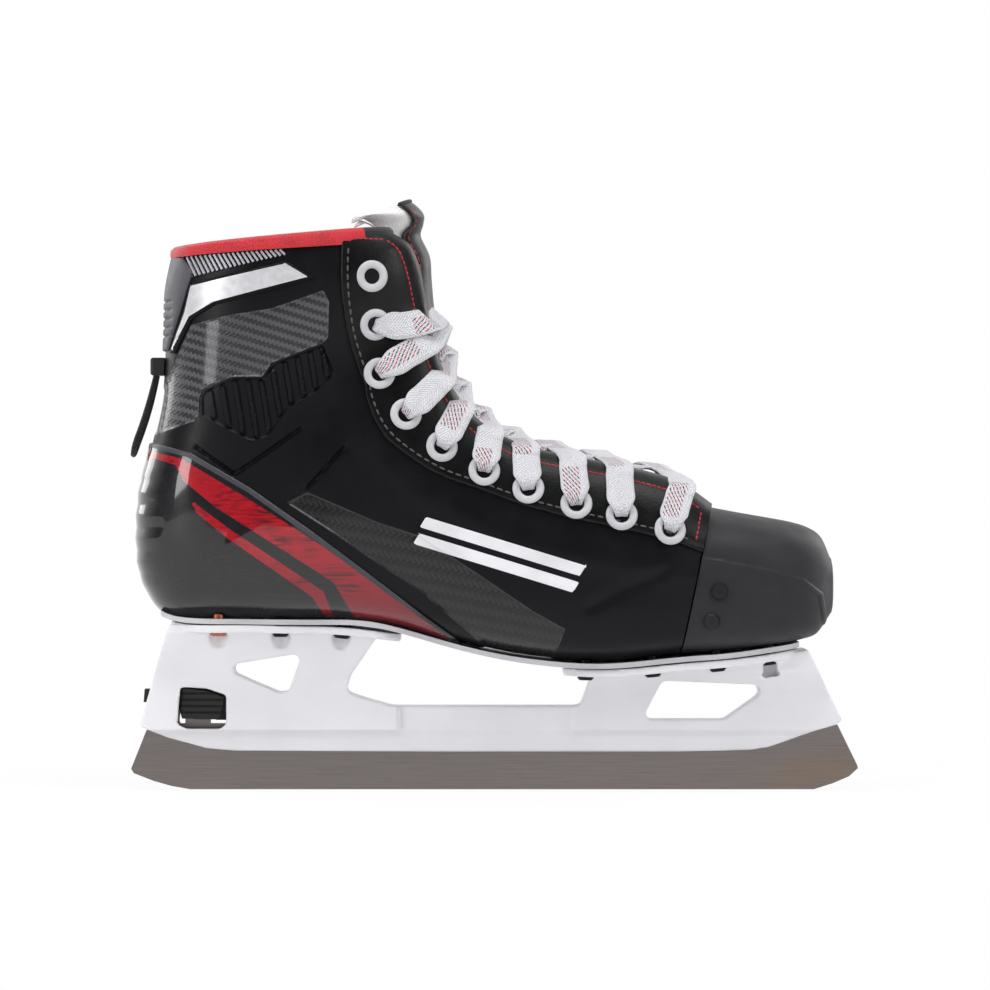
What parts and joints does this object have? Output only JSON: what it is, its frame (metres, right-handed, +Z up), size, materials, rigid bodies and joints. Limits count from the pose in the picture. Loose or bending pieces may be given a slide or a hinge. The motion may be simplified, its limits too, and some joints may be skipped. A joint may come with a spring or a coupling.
{
  "type": "goalie hockey skate",
  "caption": "Goalie ice hockey skate for the right foot: laced boot on a white blade holder with a release trigger and a steel runner.",
  "frame": {"origin": "on the ice under the middle of the runner, at the bottom centre of the whole skate", "axes": "+X to the toe, +Z up, -Y the outer side of a right skate"},
  "size_m": [0.287, 0.0928, 0.2321],
  "materials": {
    "shell": "gloss black composite",
    "toe_cap": "satin dark grey",
    "toe_plug": "satin black",
    "eyestay": "satin black synthetic leather",
    "heel_counter": "high gloss black with red stripes",
    "tendon_guard": "satin grey",
    "cuff_trim": "satin silver",
    "binding": "satin red piping",
    "liner": "dark brushed lining",
    "board": "fibre board",
    "footbed": "dark foam",
    "outsole": "pale plastic",
    "tongue_cover": "black woven cover",
    "felt": "white felt",
    "eyelet": "bright ring",
    "lace": "white waxed weave",
    "loop_cord": "black braid",
    "keeper": "black",
    "holder": "white moulded plastic",
    "rivet_black": "black steel",
    "rivet_copper": "copper",
    "runner": "ground steel",
    "trigger": "black ribbed plastic",
    "pin": "steel"
  },
  "bodies": {
    "boot": {"quarter_lateral": "shell", "quarter_medial": "shell", "toe_cap": "toe_cap", "toe_cap_rivets": "toe_plug", "eyestay_lateral": "eyestay", "eyestay_medial": "eyestay", "heel_counter": "heel_counter", "tendon_guard": "tendon_guard", "cuff_trim_lateral": "cuff_trim", "cuff_trim_medial": "cuff_trim", "collar_binding": "binding", "liner_lateral": "liner", "liner_medial": "liner", "insole_board": "board", "footbed": "footbed", "outsole": "outsole", "tongue_cover_lower": "tongue_cover", "tongue_felt_lower": "felt", "eyelets_lateral": "eyelet", "eyelets_medial": "eyelet", "lace": "lace", "heel_loop": "loop_cord", "loop_keeper": "keeper", "blade_holder": "holder", "holder_rivets_steel": "rivet_black", "holder_rivet_copper": "rivet_copper", "trigger_pin": "pin", "trigger_spring": "pin", "front_anchor_pin": "pin"},
    "runner": {"runner": "runner"},
    "trigger": {"release_trigger": "trigger"},
    "tongue_flap": {"tongue_cover_flap": "tongue_cover", "tongue_felt_flap": "felt"}
  },
  "joints": [
    {"name": "runner_pivot", "type": "hinge", "parent": "boot", "child": "runner", "pos_m": [0.116, 0, 0.03], "axis": [0, -1, 0], "range_deg": [0, 1]},
    {"name": "trigger_swing", "type": "hinge", "parent": "boot", "child": "trigger", "pos_m": [-0.104, 0, 0.037], "axis": [0, -1, 0], "range_deg": [0, 9], "stiffness_Nm_per_rad": 0.6, "springref_deg": -20.05},
    {"name": "tongue_flap_hinge", "type": "hinge", "parent": "boot", "child": "tongue_flap", "pos_m": [-0.02407, 0, 0.19283], "axis": [0, 1, 0], "range_deg": [0, 20], "stiffness_Nm_per_rad": 0.3}
  ],
  "couplings": [
    {"joint": "trigger_swing", "follows": "runner_pivot", "ratio": 9}
  ]
}
